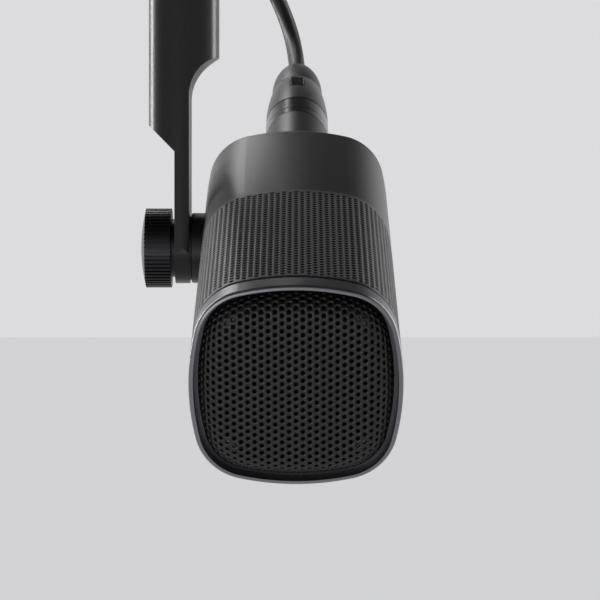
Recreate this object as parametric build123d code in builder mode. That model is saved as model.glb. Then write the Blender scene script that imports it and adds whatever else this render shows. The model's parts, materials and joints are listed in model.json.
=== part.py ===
from build123d import *
import math
import os

# Ribbon microphone hung from a side arm, with its cable, in millimetres, +Z up.
# The origin is the stand thread at the top of the arm. The microphone faces -Y and tilts about X.

# ---- driving dimensions: arm and pivot ----
ARM_DIAMETER = 21.1
ARM_RISE = 225.0            # pivot to the top of the arm
TONGUE_THICKNESS = 4.3
TONGUE_SHIFT = 0.3          # middle of the tongue, left of the arm's axis
LEFT_CUT_LOW = 28.4         # heights above the pivot where the tongue widens into the arm
LEFT_CUT_HIGH = 37.7
RIGHT_CUT_LOW = 44.9
RIGHT_CUT_HIGH = 56.8
THREAD_RADIUS = 7.42        # 5/8 inch stand thread, at its minor diameter
THREAD_DEPTH = 16.0
INSERT_WALL = 1.5
TILT = 20.5                 # degrees that the front looks down at rest

# ---- driving dimensions: microphone body ----
BODY_WIDTH = 56.0
SIDE_RADIUS = 67.0          # shallow arc of each side
CORNER_RADIUS = 15.0
FRONT_REACH = 109.0         # pivot to the front lip
HOUSING_REACH = 29.5        # pivot to the front edge of the rear housing
REAR_REACH = 31.0           # pivot to the rear face
BEZEL_BAND = 6.5
BEZEL_LIP = 1.2
BEZEL_ROUND = 1.0
FLANGE_THICKNESS = 2.4
FLANGE_WALL = 3.0           # between the screws and the round window behind the grille
SLEEVE_WALL = 1.2
SLEEVE_GROOVE = 0.5         # narrow line between sleeve and bezel
LINER_WALL = 0.5
HOUSING_WALL = 2.2
REAR_WALL = 3.0
REAR_ROUND = 3.5
SPIGOT_LENGTH = 5.0
GRILLE_MARGIN = 1.15         # open gap between the lip and the grille
GRILLE_PROUD = 3.2          # front of the grille ahead of the lip
GRILLE_SHEET = 1.0
GRILLE_ROUND = 6.5
FIELD_MARGIN = 1.15         # from the perforated field to the rounded edge
GRILLE_HOLE = 3.0           # across the flats of each hole
GRILLE_PITCH = 5.2
SLOT_WIDTH = 2.2
SLOT_LENGTH = 7.0
SLOT_COLUMN = 5.2
SLOT_ROW = 9.4
SLOT_MARGIN = 1.75          # plain edge behind the first row
SEAT_GAP = 0.02             # between pieces that seat in one body
RUNNING_GAP = 0.05          # between a shaft and its bearing

# ---- driving dimensions: clamp ----
BOSS_DIAMETER = 20.9
BOSS_THICKNESS = 3.25       # at the middle of the housing's crowned side
FRICTION_DIAMETER = 19.0
FRICTION_THICKNESS = 0.5
COLLAR_DIAMETER = 17.3
COLLAR_THICKNESS = 1.2
KNOB_DIAMETER = 23.6
KNOB_LENGTH = 9.1
KNOB_DOME = 1.5
KNOB_RIBS = 58
RIB_DEPTH = 0.55
STUD_RADIUS = 2.95
SHANK_RADIUS = 5.0
BOSS_NUT_RADIUS = 8.5
BOSS_NUT_THICKNESS = 3.0
SHANK_PROUD = 1.0           # threaded end of the boss past its nut
STUD_DEPTH = 0.7            # share of the knob that the stud is sunk into

# ---- driving dimensions: ribbon motor ----
MOTOR_FRONT = 88.0          # pivot to the front of the magnet yoke
MOTOR_DEPTH = 13.0
YOKE_MARGIN = 3.8           # yoke to sleeve, above and below
YOKE_GAP = 0.8              # yoke to rubber mounts
YOKE_WALL = 3.5
MAGNET_SHARE = 0.66         # of the way from the yoke to the ribbon's gap
POLE_NOSE = 3.0             # height of the pole tip beside the ribbon gap
RIBBON_WIDTH = 4.8
RIBBON_GAP = 0.5            # ribbon edge to pole tip
RIBBON_SHEET = 0.12         # thicker than the real foil, so that it is a solid
FOLD_PITCH = 2.4
FOLD_HEIGHT = 0.7
CLAMP_HEIGHT = 4.5
CLAMP_WIDTH = 14.0
CLAMP_THICKNESS = 2.0
SMALL_SCREW = 1.0           # radius of the clamp screws
CARRIER_THICKNESS = 2.0
CARRIER_GAP = 0.8           # to the sleeve's liner
ROD_RADIUS = 2.0
ROD_INSET = 9.8             # middle of each rod, in from the body's sides
ROD_SCREW = 1.25            # radius of the screw in each rod's end
ROD_SCREW_DEPTH = 6.0
DRILL_POINT = 1.0           # depth of a blind hole past its screw
SCREW_HEAD = 2.4
HEAD_THICKNESS = 1.5
MOUNT_RADIUS = 3.4
MOUNT_NECK = 2.8
MOUNT_LIP = 1.0
FOAM_GAP = 0.3              # to the screw heads
FOAM_THICKNESS = 4.0
POLE_GAP = 0.5              # pole pieces to ribbon clamps
CORE_WIDTH = 26.0
CORE_HEIGHT = 22.0
CORE_DEPTH = 9.0
WINDING_DEPTH = 17.0
WINDING_ROUND = 2.0

# ---- driving dimensions: tail and cable connectors ----
TAIL_LENGTH = 78.0          # rear face to the end of the tail
TAIL_RADIUS = 10.6
TAIL_WALL = 1.8
CONTACT_RADIUS = 4.4
PIN_RADIUS = 1.2
TAIL_FLANGE = 14.0
TAIL_FLANGE_THICKNESS = 2.0
INSERT_THICKNESS = 5.0
PIN_LENGTH = 9.0
SOLDER_CUP = 3.0            # pin behind the insert
NOSE_RADIUS = 7.8           # part of the cable socket that enters the tail
NOSE_LENGTH = 10.0
PLUG_RADIUS = 10.65
PLUG_WALL = 1.6
RING_LENGTH = 6.0
COLLAR_LENGTH = 11.0
SHELL_LENGTH = 33.0
SHELL_END_RADIUS = 8.9
GROOVE = 0.5
BOOT_LENGTH = 31.0
BOOT_MOUTH = 4.8
BOOT_BULGE = 1.3
GRIP_LENGTH = 6.0
GRIP_GAP = 0.1
PIN_RECESS = 2.0            # pin tips inside the tail's mouth
FAR_RADIUS = 9.5
FAR_SOCKET_LENGTH = 18.0
FAR_SOCKET_WALL = 1.3
FAR_SHELL_LENGTH = 24.0
FAR_BOOT_LENGTH = 26.0
LATCH_WIDTH = 4.6
LATCH_LENGTH = 9.0
LATCH_PROUD = 0.9
LATCH_SINK = 0.3            # seat below the shell's mean radius
LATCH_HEIGHT = 2.08         # part of the button inside the shell's wall
LATCH_GAP = 0.3

# ---- driving dimensions: cable ----
CABLE_DIAMETER = 6.0
COIL_RADIUS = 36.0          # middle of the turns
COIL_BUNDLE = 10.0          # radius of the bundle of turns
COIL_TURNS = 7.25
COIL_HEIGHT = 145.0         # above the pivot
COIL_GAP = 0.3
TIE_WIDTH = 16.0
TIE_THICKNESS = 1.6
TIE_GAP = 0.3

# ---- frames ----
ARM_RADIUS = ARM_DIAMETER / 2
PIVOT = Vector(0, 0, -ARM_RISE)
DOWN = math.radians(TILT)
TONGUE_LEFT = -TONGUE_SHIFT - TONGUE_THICKNESS / 2
TONGUE_RIGHT = TONGUE_LEFT + TONGUE_THICKNESS
WASHER_FACE = TONGUE_RIGHT + FRICTION_THICKNESS
BODY_SIDE = WASHER_FACE + BOSS_THICKNESS
BODY_OFFSET = BODY_SIDE + BODY_WIDTH / 2            # arm axis to microphone axis
MIC = Plane(
    origin=PIVOT + Vector(BODY_OFFSET, 0, 0),
    x_dir=(1, 0, 0),
    z_dir=(0, -math.cos(DOWN), -math.sin(DOWN)),
)
SIDE = Plane(origin=PIVOT, x_dir=(0, 1, 0), z_dir=(1, 0, 0))    # looks along the pivot axis
FRONT = Axis(MIC.origin, MIC.z_dir)
BEZEL_BACK = FRONT_REACH - BEZEL_BAND
GRILLE_BACK = BEZEL_BACK + FLANGE_THICKNESS
GRILLE_TOP = FRONT_REACH + GRILLE_PROUD
GRILLE_WIDTH = BODY_WIDTH - 2 * (BEZEL_LIP + GRILLE_MARGIN)
GRILLE_FIELD = GRILLE_WIDTH / 2 - GRILLE_ROUND - FIELD_MARGIN
SLEEVE_INSIDE = BODY_WIDTH - 2 * SLEEVE_WALL
ROD_SPACING = BODY_WIDTH - 2 * ROD_INSET
ROD_CORNER = ROD_SPACING / math.sqrt(2)             # microphone axis to the middle of a rod
GRILLE_COLUMNS = int(GRILLE_FIELD / GRILLE_PITCH) + 1
os.makedirs("parts", exist_ok=True)


def save(piece, label):
    """Names one finished piece and writes it."""
    piece.part.label = label
    export_step(piece.part, f"parts/{label}.step")


def squircle(width, mode=Mode.ADD):
    """Rounded square of four shallow side arcs and four tighter corner arcs, an offset of the body's."""
    inset = (BODY_WIDTH - width) / 2
    side = SIDE_RADIUS - inset
    reach = side - width / 2
    with BuildSketch(Plane.XY, mode=Mode.PRIVATE) as outline:
        with Locations((reach, 0)):
            Circle(side)
        for x, y in ((-reach, 0), (0, reach), (0, -reach)):
            with Locations((x, y)):
                Circle(side, mode=Mode.INTERSECT)
        fillet(outline.vertices(), CORNER_RADIUS - inset)
    add(outline.sketch_local, mode=mode)


def ring(outer, inner):
    """Round ring on the current sketch."""
    Circle(outer)
    Circle(inner, mode=Mode.SUBTRACT)


# ---- arm: round rod, cut away to a flat tongue that ends in a half round ----
with BuildPart() as hanger_arm:
    with BuildSketch(Plane.XY):
        Circle(ARM_RADIUS)
    extrude(amount=-ARM_RISE - ARM_RADIUS)
    with BuildSketch(SIDE):
        with Locations((0, ARM_RADIUS)):
            Rectangle(2 * ARM_DIAMETER, 2 * ARM_RADIUS + ARM_RADIUS, align=(Align.CENTER, Align.MAX))
        Circle(ARM_RADIUS, mode=Mode.SUBTRACT)
        with Locations((0, ARM_RADIUS)):
            Rectangle(ARM_DIAMETER + 1, ARM_RADIUS, align=(Align.CENTER, Align.MAX), mode=Mode.SUBTRACT)
    extrude(amount=ARM_DIAMETER, both=True, mode=Mode.SUBTRACT)
    with BuildSketch(Plane.XZ):
        with BuildLine():
            Polyline(
                (TONGUE_LEFT, -ARM_RISE - ARM_DIAMETER),
                (TONGUE_LEFT, -ARM_RISE + LEFT_CUT_LOW),
                (-ARM_RADIUS - 1, -ARM_RISE + LEFT_CUT_HIGH),
                (-ARM_RADIUS - 1, -ARM_RISE - ARM_DIAMETER),
                close=True,
            )
        make_face()
    extrude(amount=ARM_DIAMETER, both=True, mode=Mode.SUBTRACT)
    with BuildSketch(Plane.XZ):
        with BuildLine():
            Polyline(
                (ARM_RADIUS, -ARM_RISE + RIGHT_CUT_HIGH),
                (ARM_RADIUS + 1, -ARM_RISE + RIGHT_CUT_HIGH),
                (ARM_RADIUS + 1, -ARM_RISE - ARM_DIAMETER),
                (TONGUE_RIGHT, -ARM_RISE - ARM_DIAMETER),
                (TONGUE_RIGHT, -ARM_RISE + RIGHT_CUT_LOW),
            )
            JernArc(
                start=(TONGUE_RIGHT, -ARM_RISE + RIGHT_CUT_LOW),
                tangent=(0, 1),
                radius=((RIGHT_CUT_HIGH - RIGHT_CUT_LOW) ** 2 + (ARM_RADIUS - TONGUE_RIGHT) ** 2)
                / (2 * (ARM_RADIUS - TONGUE_RIGHT)),
                arc_size=-2 * math.degrees(
                    math.atan2(ARM_RADIUS - TONGUE_RIGHT, RIGHT_CUT_HIGH - RIGHT_CUT_LOW)
                ),
            )
        make_face()
    extrude(amount=ARM_DIAMETER, both=True, mode=Mode.SUBTRACT)
    with BuildSketch(SIDE):
        Circle(STUD_RADIUS + RUNNING_GAP)
    extrude(amount=ARM_DIAMETER, both=True, mode=Mode.SUBTRACT)
    with BuildSketch(Plane.XY):
        Circle(THREAD_RADIUS + INSERT_WALL + SEAT_GAP)
    extrude(amount=-THREAD_DEPTH - 1, mode=Mode.SUBTRACT)
    chamfer(hanger_arm.edges().filter_by(GeomType.CIRCLE).sort_by(Axis.Z)[-2:], 0.5)
save(hanger_arm, "hanger_arm")

# ---- brass insert that carries the stand thread ----
with BuildPart() as thread_insert:
    with BuildSketch(Plane.XY):
        ring(THREAD_RADIUS + INSERT_WALL, THREAD_RADIUS)
    extrude(amount=-THREAD_DEPTH)
save(thread_insert, "thread_insert")


# ---- pivot: friction washer, boss and its nut ----
BOSS_CROWN = (BOSS_DIAMETER / 2) ** 2 / (2 * SIDE_RADIUS)      # fall of the crowned side at the boss's rim
NUT_CROWN = BOSS_NUT_RADIUS ** 2 / (2 * SIDE_RADIUS)
BOSS_SEAT = BODY_SIDE + BOSS_CROWN + SEAT_GAP
NUT_SEAT = BODY_SIDE + HOUSING_WALL + NUT_CROWN + SEAT_GAP
with BuildPart() as friction_washer:
    with BuildSketch(SIDE.offset(TONGUE_RIGHT)):
        ring(FRICTION_DIAMETER / 2, STUD_RADIUS + RUNNING_GAP)
    extrude(amount=FRICTION_THICKNESS)
save(friction_washer, "friction_washer")

with BuildPart() as pivot_boss:
    with BuildSketch(SIDE.offset(WASHER_FACE)):
        Circle(BOSS_DIAMETER / 2)
    extrude(amount=BOSS_SEAT - WASHER_FACE)
    chamfer(pivot_boss.edges().group_by(Axis.X)[0], 0.3)
    with BuildSketch(SIDE.offset(BOSS_SEAT)):
        Circle(SHANK_RADIUS)
    extrude(amount=NUT_SEAT + BOSS_NUT_THICKNESS - BOSS_SEAT + SHANK_PROUD)
    with BuildSketch(SIDE.offset(WASHER_FACE)):
        Circle(STUD_RADIUS + RUNNING_GAP)
    extrude(amount=BOSS_SEAT * 3, mode=Mode.SUBTRACT)
save(pivot_boss, "pivot_boss")

with BuildPart() as boss_nut:
    with BuildSketch(SIDE.offset(NUT_SEAT)):
        RegularPolygon(BOSS_NUT_RADIUS, 6)
        Circle(SHANK_RADIUS + SEAT_GAP, mode=Mode.SUBTRACT)
    extrude(amount=BOSS_NUT_THICKNESS)
save(boss_nut, "boss_nut")

# ---- clamp: collar, ribbed knob and its stud ----
COLLAR_FACE = TONGUE_LEFT - COLLAR_THICKNESS
KNOB_END = COLLAR_FACE - KNOB_LENGTH
with BuildPart() as clamp_collar:
    with BuildSketch(SIDE.offset(TONGUE_LEFT)):
        ring(COLLAR_DIAMETER / 2, STUD_RADIUS + RUNNING_GAP)
    extrude(amount=-COLLAR_THICKNESS)
save(clamp_collar, "clamp_collar")

with BuildPart() as clamp_knob:
    with BuildSketch(SIDE.offset(COLLAR_FACE)):
        Circle(KNOB_DIAMETER / 2)
        with PolarLocations(KNOB_DIAMETER / 2, KNOB_RIBS):
            Rectangle(2 * RIB_DEPTH, math.pi * KNOB_DIAMETER / KNOB_RIBS / 2, mode=Mode.SUBTRACT)
    extrude(amount=-KNOB_LENGTH)
    with BuildSketch(Plane.XZ.offset(-PIVOT.Y)):
        with BuildLine():
            rim = (KNOB_END + KNOB_DOME, -ARM_RISE + KNOB_DIAMETER / 2)
            crown = (KNOB_END, -ARM_RISE)
            ThreePointArc(crown, (KNOB_END + KNOB_DOME * 0.26, -ARM_RISE + KNOB_DIAMETER / 4), rim)
            Polyline(rim, (rim[0], rim[1] + 2), (KNOB_END - 1, rim[1] + 2), (KNOB_END - 1, -ARM_RISE), crown)
        make_face()
    revolve(axis=Axis(PIVOT, (1, 0, 0)), mode=Mode.SUBTRACT)
    with BuildSketch(SIDE.offset(COLLAR_FACE)):
        Circle(STUD_RADIUS + SEAT_GAP)
    extrude(amount=-KNOB_LENGTH * STUD_DEPTH, mode=Mode.SUBTRACT)
save(clamp_knob, "clamp_knob")

with BuildPart() as clamp_stud:
    with BuildSketch(SIDE.offset(COLLAR_FACE - KNOB_LENGTH * STUD_DEPTH)):
        Circle(STUD_RADIUS)
    extrude(amount=NUT_SEAT + BOSS_NUT_THICKNESS - COLLAR_FACE + KNOB_LENGTH * STUD_DEPTH)
    chamfer(clamp_stud.edges().group_by(Axis.X)[-1], 0.5)
save(clamp_stud, "clamp_stud")

# ---- microphone case ----
with BuildPart() as bezel_ring:
    with BuildSketch(MIC.offset(BEZEL_BACK)):
        squircle(BODY_WIDTH)
    extrude(amount=BEZEL_BAND)
    fillet(bezel_ring.faces().sort_by(FRONT)[-1].edges(), BEZEL_ROUND)
    with BuildSketch(MIC.offset(BEZEL_BACK + FLANGE_THICKNESS)):
        squircle(BODY_WIDTH - 2 * BEZEL_LIP)
    extrude(amount=BEZEL_BAND, mode=Mode.SUBTRACT)
    with BuildSketch(MIC.offset(BEZEL_BACK)):
        Circle(ROD_CORNER - ROD_SCREW - FLANGE_WALL)
        with GridLocations(ROD_SPACING, ROD_SPACING, 2, 2):
            Circle(ROD_SCREW + SEAT_GAP)
    extrude(amount=FLANGE_THICKNESS, mode=Mode.SUBTRACT)
save(bezel_ring, "bezel_ring")


with BuildPart() as grille_inside:
    with BuildSketch(MIC.offset(GRILLE_BACK)):
        squircle(GRILLE_WIDTH - 2 * GRILLE_SHEET)
    extrude(amount=GRILLE_TOP - GRILLE_SHEET - GRILLE_BACK)
    fillet(grille_inside.faces().sort_by(FRONT)[-1].edges(), GRILLE_ROUND - GRILLE_SHEET)
with BuildPart() as grille_cap:
    with BuildSketch(MIC.offset(GRILLE_BACK)):
        squircle(GRILLE_WIDTH)
    extrude(amount=GRILLE_TOP - GRILLE_BACK)
    fillet(grille_cap.faces().sort_by(FRONT)[-1].edges(), GRILLE_ROUND)
    add(grille_inside.part, mode=Mode.SUBTRACT)
    with BuildSketch(MIC.offset(GRILLE_TOP)):
        for column in range(-GRILLE_COLUMNS, GRILLE_COLUMNS + 1):
            for row in range(-GRILLE_COLUMNS, GRILLE_COLUMNS + 1):
                across = column * GRILLE_PITCH * math.sqrt(3) / 2
                along = (row + (column % 2) / 2) * GRILLE_PITCH
                if math.hypot(across, along) < GRILLE_FIELD:
                    with Locations((across, along)):
                        RegularPolygon(GRILLE_HOLE / 2, 6, major_radius=False)
    extrude(amount=-2 * GRILLE_SHEET, mode=Mode.SUBTRACT)
save(grille_cap, "grille_cap")

with BuildPart() as grille_foam:
    with BuildSketch(MIC.offset(GRILLE_BACK)):
        Circle(ROD_CORNER - SCREW_HEAD - FOAM_GAP)
    extrude(amount=FOAM_THICKNESS)
save(grille_foam, "grille_foam")

SLEEVE_FRONT = BEZEL_BACK - SLEEVE_GROOVE
SLEEVE_LENGTH = SLEEVE_FRONT - HOUSING_REACH
SPIGOT_END = HOUSING_REACH + SPIGOT_LENGTH
with BuildPart() as perforated_sleeve:
    with BuildSketch(MIC.offset(HOUSING_REACH)):
        squircle(BODY_WIDTH)
        squircle(SLEEVE_INSIDE, mode=Mode.SUBTRACT)
    extrude(amount=SLEEVE_LENGTH)
    columns = int((BODY_WIDTH - CORNER_RADIUS) / SLOT_COLUMN) + 1
    rows = int((SLEEVE_FRONT - SPIGOT_END - SLOT_LENGTH / 2) / SLOT_ROW)
    for turn in (0, 90):
        wall = Plane(MIC.origin, x_dir=MIC.z_dir, z_dir=MIC.x_dir if turn else MIC.y_dir)
        with BuildSketch(wall):
            for column in range(columns):
                across = (column - (columns - 1) / 2) * SLOT_COLUMN
                start = SPIGOT_END + SLOT_MARGIN + SLOT_LENGTH / 2 + (column % 2) * SLOT_ROW / 2
                for row in range(rows):
                    with Locations((start + row * SLOT_ROW, across)):
                        Rectangle(SLOT_LENGTH, SLOT_WIDTH)
        extrude(amount=BODY_WIDTH, both=True, mode=Mode.SUBTRACT)
save(perforated_sleeve, "perforated_sleeve")

with BuildPart() as sleeve_liner:
    with BuildSketch(MIC.offset(SPIGOT_END)):
        squircle(SLEEVE_INSIDE - 2 * SEAT_GAP)
        squircle(SLEEVE_INSIDE - 2 * LINER_WALL, mode=Mode.SUBTRACT)
    extrude(amount=BEZEL_BACK - SPIGOT_END)
save(sleeve_liner, "sleeve_liner")

with BuildPart() as rear_housing:
    with BuildSketch(MIC.offset(-REAR_REACH)):
        squircle(BODY_WIDTH)
    extrude(amount=REAR_REACH + HOUSING_REACH)
    fillet(rear_housing.faces().sort_by(FRONT)[0].edges(), REAR_ROUND)
    with BuildSketch(MIC.offset(HOUSING_REACH)):
        squircle(SLEEVE_INSIDE - 2 * SEAT_GAP)
    extrude(amount=SPIGOT_LENGTH)
    with BuildSketch(MIC.offset(REAR_WALL - REAR_REACH)):
        squircle(BODY_WIDTH - 2 * HOUSING_WALL)
    extrude(amount=FRONT_REACH, mode=Mode.SUBTRACT)
    with BuildSketch(MIC.offset(-REAR_REACH)):
        Circle(TAIL_RADIUS + SEAT_GAP)
    extrude(amount=REAR_WALL, mode=Mode.SUBTRACT)
    with BuildSketch(SIDE.offset(BOSS_SEAT)):
        Circle(BOSS_DIAMETER / 2 + SEAT_GAP)
    extrude(amount=-BOSS_SEAT, mode=Mode.SUBTRACT)
    with BuildSketch(SIDE.offset(BOSS_SEAT)):
        Circle(SHANK_RADIUS + SEAT_GAP)
    extrude(amount=2 * HOUSING_WALL, mode=Mode.SUBTRACT)
save(rear_housing, "rear_housing")

# ---- chassis: four rods tie the rear housing to the bezel, a rubber mounted plate holds the motor ----
ROD_FOOT = REAR_WALL - REAR_REACH
MOTOR_BACK = MOTOR_FRONT - MOTOR_DEPTH
CARRIER_BACK = MOTOR_BACK - CARRIER_THICKNESS
YOKE_WIDTH = ROD_SPACING - 2 * (MOUNT_RADIUS + YOKE_GAP)
YOKE_HEIGHT = SLEEVE_INSIDE - 2 * YOKE_MARGIN
WINDOW_WIDTH = YOKE_WIDTH - 2 * YOKE_WALL
WINDOW_HEIGHT = YOKE_HEIGHT - 2 * YOKE_WALL
POLE_HEIGHT = WINDOW_HEIGHT - 2 * (CLAMP_HEIGHT + POLE_GAP)
RIBBON_PLANE = MOTOR_FRONT - MOTOR_DEPTH / 2
GAP_SIDE = RIBBON_WIDTH / 2 + RIBBON_GAP
MAGNET_WIDTH = (WINDOW_WIDTH / 2 - GAP_SIDE) * MAGNET_SHARE
POLE_BASE = WINDOW_WIDTH / 2 - MAGNET_WIDTH
with BuildPart() as tie_rods:
    with BuildSketch(MIC.offset(ROD_FOOT)):
        with GridLocations(ROD_SPACING, ROD_SPACING, 2, 2):
            Circle(ROD_RADIUS)
    extrude(amount=BEZEL_BACK - ROD_FOOT)
    with BuildSketch(MIC.offset(BEZEL_BACK)):
        with GridLocations(ROD_SPACING, ROD_SPACING, 2, 2):
            Circle(ROD_SCREW + SEAT_GAP)
    extrude(amount=-ROD_SCREW_DEPTH - DRILL_POINT, mode=Mode.SUBTRACT)
save(tie_rods, "tie_rods")

with BuildPart() as tie_screws:
    with BuildSketch(MIC.offset(GRILLE_BACK)):
        with GridLocations(ROD_SPACING, ROD_SPACING, 2, 2):
            Circle(SCREW_HEAD)
    extrude(amount=HEAD_THICKNESS)
    with BuildSketch(MIC.offset(GRILLE_BACK)):
        with GridLocations(ROD_SPACING, ROD_SPACING, 2, 2):
            Circle(ROD_SCREW)
    extrude(amount=-FLANGE_THICKNESS - ROD_SCREW_DEPTH)
save(tie_screws, "tie_screws")

with BuildPart() as motor_carrier:
    with BuildSketch(MIC.offset(CARRIER_BACK)):
        squircle(SLEEVE_INSIDE - 2 * (LINER_WALL + CARRIER_GAP))
        Rectangle(WINDOW_WIDTH, WINDOW_HEIGHT, mode=Mode.SUBTRACT)
        with GridLocations(ROD_SPACING, ROD_SPACING, 2, 2):
            Circle(MOUNT_NECK + SEAT_GAP, mode=Mode.SUBTRACT)
    extrude(amount=CARRIER_THICKNESS)
save(motor_carrier, "motor_carrier")

with BuildPart() as rubber_mounts:
    with BuildSketch(MIC.offset(CARRIER_BACK - MOUNT_LIP)):
        with GridLocations(ROD_SPACING, ROD_SPACING, 2, 2):
            Circle(MOUNT_RADIUS)
    extrude(amount=CARRIER_THICKNESS + 2 * MOUNT_LIP)
    with BuildSketch(MIC.offset(CARRIER_BACK)):
        with GridLocations(ROD_SPACING, ROD_SPACING, 2, 2):
            ring(2 * MOUNT_RADIUS, MOUNT_NECK)
    extrude(amount=CARRIER_THICKNESS, mode=Mode.SUBTRACT)
    with BuildSketch(MIC.offset(CARRIER_BACK - MOUNT_LIP)):
        with GridLocations(ROD_SPACING, ROD_SPACING, 2, 2):
            Circle(ROD_RADIUS + SEAT_GAP)
    extrude(amount=CARRIER_THICKNESS + 2 * MOUNT_LIP, mode=Mode.SUBTRACT)
save(rubber_mounts, "rubber_mounts")

# ---- ribbon motor ----
with BuildPart() as magnet_yoke:
    with BuildSketch(MIC.offset(MOTOR_BACK)):
        RectangleRounded(YOKE_WIDTH, YOKE_HEIGHT, YOKE_WALL / 2)
        Rectangle(WINDOW_WIDTH, WINDOW_HEIGHT, mode=Mode.SUBTRACT)
    extrude(amount=MOTOR_DEPTH)
save(magnet_yoke, "magnet_yoke")

for side, way in (("left", -1), ("right", 1)):
    with BuildPart() as magnet:
        with BuildSketch(MIC.offset(MOTOR_BACK)):
            with Locations((way * (POLE_BASE + MAGNET_WIDTH / 2), 0)):
                Rectangle(MAGNET_WIDTH, POLE_HEIGHT)
        extrude(amount=MOTOR_DEPTH)
    save(magnet, f"magnet_{side}")
    with BuildPart() as pole_piece:
        with BuildSketch(Plane(MIC.origin, x_dir=MIC.x_dir, z_dir=MIC.y_dir)):
            with BuildLine():
                Polyline(
                    (way * POLE_BASE, -MOTOR_BACK),
                    (way * GAP_SIDE, POLE_NOSE / 2 - RIBBON_PLANE),
                    (way * GAP_SIDE, -POLE_NOSE / 2 - RIBBON_PLANE),
                    (way * POLE_BASE, -MOTOR_FRONT),
                    close=True,
                )
            make_face()
        extrude(amount=POLE_HEIGHT / 2, both=True)
    save(pole_piece, f"pole_piece_{side}")

FOLDS = int(POLE_HEIGHT / FOLD_PITCH)
with BuildPart() as ribbon:
    with BuildSketch(Plane(MIC.origin, x_dir=MIC.y_dir, z_dir=MIC.x_dir)):
        end = WINDOW_HEIGHT / 2 - POLE_GAP
        folded = [(-end, 0.0)]
        for step in range(2 * FOLDS + 1):
            rise = 0 if step in (0, 2 * FOLDS) else (-1) ** step * FOLD_HEIGHT / 2
            folded.append(((step - FOLDS) / 2 * FOLD_PITCH, rise))
        folded += [(end, 0.0)]
        with BuildLine():
            front = [(along, RIBBON_PLANE + rise + RIBBON_SHEET / 2) for along, rise in folded]
            back = [(along, RIBBON_PLANE + rise - RIBBON_SHEET / 2) for along, rise in reversed(folded)]
            Polyline(*front, *back, close=True)
        make_face()
    extrude(amount=RIBBON_WIDTH / 2, both=True)
save(ribbon, "ribbon")

with BuildPart() as ribbon_clamps:
    for face, way in ((RIBBON_PLANE + RIBBON_SHEET / 2, 1), (RIBBON_PLANE - RIBBON_SHEET / 2, -1)):
        with BuildSketch(MIC.offset(face)):
            with GridLocations(1, WINDOW_HEIGHT - CLAMP_HEIGHT, 1, 2):
                Rectangle(CLAMP_WIDTH, CLAMP_HEIGHT)
            with GridLocations(CLAMP_WIDTH - 4 * SMALL_SCREW, WINDOW_HEIGHT - CLAMP_HEIGHT, 2, 2):
                Circle(SMALL_SCREW + SEAT_GAP, mode=Mode.SUBTRACT)
        extrude(amount=way * CLAMP_THICKNESS)
save(ribbon_clamps, "ribbon_clamps")

with BuildPart() as clamp_screws:
    with BuildSketch(MIC.offset(RIBBON_PLANE + RIBBON_SHEET / 2 + CLAMP_THICKNESS)):
        with GridLocations(CLAMP_WIDTH - 4 * SMALL_SCREW, WINDOW_HEIGHT - CLAMP_HEIGHT, 2, 2):
            Circle(1.8 * SMALL_SCREW)
    extrude(amount=SMALL_SCREW)
    with BuildSketch(MIC.offset(RIBBON_PLANE + RIBBON_SHEET / 2 + CLAMP_THICKNESS)):
        with GridLocations(CLAMP_WIDTH - 4 * SMALL_SCREW, WINDOW_HEIGHT - CLAMP_HEIGHT, 2, 2):
            Circle(SMALL_SCREW)
    extrude(amount=-2 * CLAMP_THICKNESS - RIBBON_SHEET)
save(clamp_screws, "clamp_screws")

# ---- output transformer, standing on the tail's flange ----
FLANGE_TOP = ROD_FOOT + TAIL_FLANGE_THICKNESS
CORE_MIDDLE = FLANGE_TOP + CORE_HEIGHT / 2
WINDING_HEIGHT = CORE_HEIGHT * 0.6
with BuildPart() as transformer_core:
    with BuildSketch(Plane(MIC.origin, x_dir=MIC.x_dir, z_dir=MIC.y_dir)):
        with Locations((0, -CORE_MIDDLE)):
            Rectangle(CORE_WIDTH, CORE_HEIGHT)
        with Locations((-CORE_WIDTH / 4, -CORE_MIDDLE), (CORE_WIDTH / 4, -CORE_MIDDLE)):
            Rectangle(CORE_WIDTH / 4, WINDING_HEIGHT + 2 * SEAT_GAP, mode=Mode.SUBTRACT)
    extrude(amount=CORE_DEPTH / 2, both=True)
save(transformer_core, "transformer_core")

with BuildPart() as transformer_winding:
    with BuildSketch(MIC.offset(CORE_MIDDLE - WINDING_HEIGHT / 2)):
        RectangleRounded(CORE_WIDTH * 3 / 4 - 2 * SEAT_GAP, WINDING_DEPTH, WINDING_ROUND)
        Rectangle(CORE_WIDTH / 4 + 2 * SEAT_GAP, CORE_DEPTH + 2 * SEAT_GAP, mode=Mode.SUBTRACT)
    extrude(amount=WINDING_HEIGHT)
save(transformer_winding, "transformer_winding")

# ---- tail with the fixed connector insert and its three pins ----
TAIL_END = -REAR_REACH - TAIL_LENGTH
INSERT_FACE = TAIL_END + PIN_RECESS + PIN_LENGTH
with BuildPart() as tail_tube:
    with BuildSketch(MIC.offset(TAIL_END)):
        Circle(TAIL_RADIUS)
    extrude(amount=FLANGE_TOP - TAIL_END)
    with BuildSketch(MIC.offset(ROD_FOOT)):
        Circle(TAIL_FLANGE)
    extrude(amount=TAIL_FLANGE_THICKNESS)
    with BuildSketch(MIC.offset(TAIL_END)):
        Circle(TAIL_RADIUS - TAIL_WALL)
    extrude(amount=FLANGE_TOP - TAIL_END, mode=Mode.SUBTRACT)
save(tail_tube, "tail_tube")


def socket_insert(face, thickness, base, name):
    """Moulded disc with three holes for the pins."""
    with BuildPart() as insert:
        with BuildSketch(base.offset(face)):
            Circle(thickness[1])
            with PolarLocations(CONTACT_RADIUS, 3, start_angle=90):
                Circle(PIN_RADIUS + SEAT_GAP, mode=Mode.SUBTRACT)
        extrude(amount=thickness[0])
    save(insert, name)


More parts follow.
